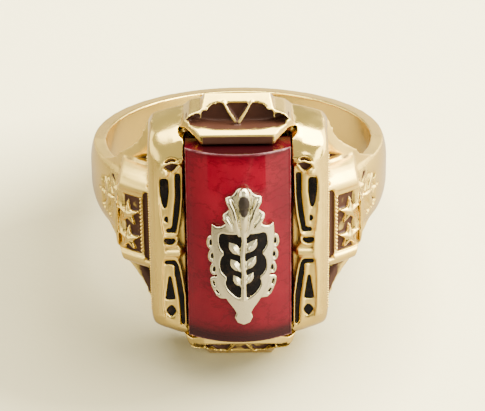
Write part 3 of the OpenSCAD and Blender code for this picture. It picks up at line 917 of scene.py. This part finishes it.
def sheet(name, half, height):
    spots = [(x * half, y * half, height) for x, y in ((-1, -1), (1, -1), (1, 1), (-1, 1))]
    return newObject(name, meshOf(name, spots, [(0, 1, 2, 3)]))


def floorMaterial():
    mat, tree, shader = material("floorPaper", matt)
    (middleX, middleY), (sizeX, sizeY) = floorLook["ovalMiddle"], floorLook["ovalSize"]
    spot = objectSpot(tree)
    oval = tree.nodes.new("ShaderNodeMapping")
    oval.inputs["Location"].default_value = (-middleX / sizeX, -middleY / sizeY, 0)
    oval.inputs["Scale"].default_value = (1 / sizeX, 1 / sizeY, 0)
    tree.links.new(spot, oval.inputs["Vector"])
    away = tree.nodes.new("ShaderNodeVectorMath")
    away.operation = "LENGTH"
    tree.links.new(oval.outputs["Vector"], away.inputs[0])
    # painted shadow on the floor
    share = ranged(tree, away.outputs["Value"], *floorLook["ovalFade"], floorLook["shadowShare"], 0)
    tree.links.new(blended(tree, share, floorLook["pale"], floorLook["paintedShadowTone"]), shader.inputs["Base Color"])
    bumped(tree, noise(tree, spot, 1100, 3), 0.25, 0.0001)
    return mat


floor = sheet("floor", floorLook["size"] / 2, 0)
floor.data.materials.append(floorMaterial())

world = bpy.data.worlds.new("studio")
bpy.context.scene.world = world
world.use_nodes = True
for label, value in (("Color", (1.0, 0.94, 0.83, 1)), ("Strength", 0.8)):
    world.node_tree.nodes["Background"].inputs[label].default_value = value

# soft boxes round the ring: their direction in degrees, distance and size in metres, and brightness of their face
softBoxes = {
    "windowBox": {"azimuth": 114, "elevation": 42, "distance": 0.45, "size": (0.4, 0.4), "glow": 22},
    "ceilingBox": {"azimuth": 185, "elevation": 66, "distance": 0.5, "size": (0.6, 0.45), "glow": 10},
    "rightBox": {"azimuth": 58, "elevation": 22, "distance": 0.4, "size": (0.5, 0.26), "glow": 7},
    "leftBox": {"azimuth": -80, "elevation": 20, "distance": 0.4, "size": (0.5, 0.28), "glow": 2.2},
}


def towards(azimuth, elevation):  # degrees, from the front and above the floor
    a, e = math.radians(azimuth), math.radians(elevation)
    return Vector((math.sin(a) * math.cos(e), -math.cos(a) * math.cos(e), math.sin(e)))


def softBox(name, azimuth, elevation, distance, size, glow):
    lamp = bpy.data.lights.new(name, "AREA")
    lamp.shape = "RECTANGLE"
    lamp.size, lamp.size_y = size
    lamp.energy = glow * math.pi * size[0] * size[1]
    lamp.color = (1, 0.96, 0.89)
    thing = newObject(name, lamp)
    thing.visible_camera = False
    spot = towards(azimuth, elevation) * distance
    thing.matrix_world = Matrix.Translation(spot) @ spot.to_track_quat("Z", "Y").to_matrix().to_4x4()


for name, box in softBoxes.items():
    softBox(name, **box)

# painted reflections, which only the polished metal and the stone mirror: glowing cards for what stands round the
# front beyond the floor's edge, with the angles it spans, its height and its brightness; a dark mat in front; and the
# floor's dimmer look, a sheet which brightens from left to right
cards = {"distance": 0.26, "matGlow": 0.03, "matHeight": 0.0005, "floorHeight": 0.0002, "floorHalf": 0.4,
         "floorLeft": 0.10, "floorRight": 0.36, "floorBlend": 0.05, "floorTone": (1, 0.9, 0.76)}
cardArcs = {"leftGlow": (-140, -82, 0.14, 3), "leftCard": (-82, -40, 0.06, 0.62),
            "frontCard": (-40, 34, 0.055, 0.03), "rightCard": (34, 69, 0.1, 3.6), "rightGap": (69, 80, 0.1, 0.6),
            "rightGlow": (80, 140, 0.16, 8)}
matOutline = [(-0.060, -0.081), (-0.061, -0.150), (-0.007, -0.246), (0.055, -0.184), (0.062, -0.094),
              (0.145, -0.2155), (-0.167, -0.199)]


def glossyOnly(thing, finish):
    thing.data.materials.append(finish)
    thing.visible_camera = thing.visible_diffuse = thing.visible_shadow = thing.visible_transmission = False


def glow(name, strength):
    return material(name, {"Base Color": (0, 0, 0, 1), "Specular IOR Level": 0,
                           "Emission Color": (1, 0.93, 0.82, 1), "Emission Strength": strength})[0]


for name, (start, stop, height, strength) in cardArcs.items():
    turns = [start + (stop - start) * i / 12 for i in range(13)]
    spots = [towards(turn, 0) * cards["distance"] + Vector((0, 0, z)) for z in (0, height) for turn in turns]
    glossyOnly(newObject(name, meshOf(name, spots, [(i, i + 1, i + 14, i + 13) for i in range(12)])),
               glow(name, strength))
frontMat = meshOf("frontMat", [(x, y, cards["matHeight"]) for x, y in matOutline],
                  [(0, 1, 6), (1, 2, 6), (2, 5, 6), (2, 3, 5), (3, 4, 5)])
glossyOnly(newObject("frontMat", frontMat), glow("matBlack", cards["matGlow"]))


def dimFloorMaterial():
    finish, tree, shader = material("dimPaper", matt)
    split = tree.nodes.new("ShaderNodeSeparateXYZ")
    tree.links.new(objectSpot(tree), split.inputs["Vector"])
    share = ranged(tree, split.outputs["X"], -cards["floorBlend"], cards["floorBlend"])
    tones = [(*(k * c for c in cards["floorTone"]), 1) for k in (cards["floorLeft"], cards["floorRight"])]
    tree.links.new(blended(tree, share, *tones), shader.inputs["Base Color"])
    return finish


glossyOnly(sheet("dimFloor", cards["floorHalf"], cards["floorHeight"]), dimFloorMaterial())

# the lens and its place, fitted to the photograph: pixels of focal length, mm and degrees
view = {"focal": 2317, "distance": 168.8, "elevation": 25.55, "azimuth": 0.16, "roll": -0.74,
        "aim": (0.23, 0, -3.48), "photoWidth": 485}
a, r = math.radians(view["azimuth"]), math.radians(view["roll"])
back = towards(view["azimuth"], view["elevation"])
right = Vector((math.cos(a), math.sin(a), 0))
up = back.cross(right)
right, up = right * math.cos(r) + up * math.sin(r), up * math.cos(r) - right * math.sin(r)
eye = Vector(view["aim"]) + view["distance"] * back
camera = bpy.data.cameras.new("camera")
camera.sensor_width = 36
camera.lens = view["focal"] * camera.sensor_width / view["photoWidth"]
camera.clip_start = 0.005
cameraThing = newObject("camera", camera)
turn = Matrix((right, up, back)).transposed().to_4x4()
cameraThing.matrix_world = (Matrix.Translation(ringPlace @ eye) @ Matrix.Rotation(-tilt, 4, "X") @ turn)
bpy.context.scene.camera = cameraThing
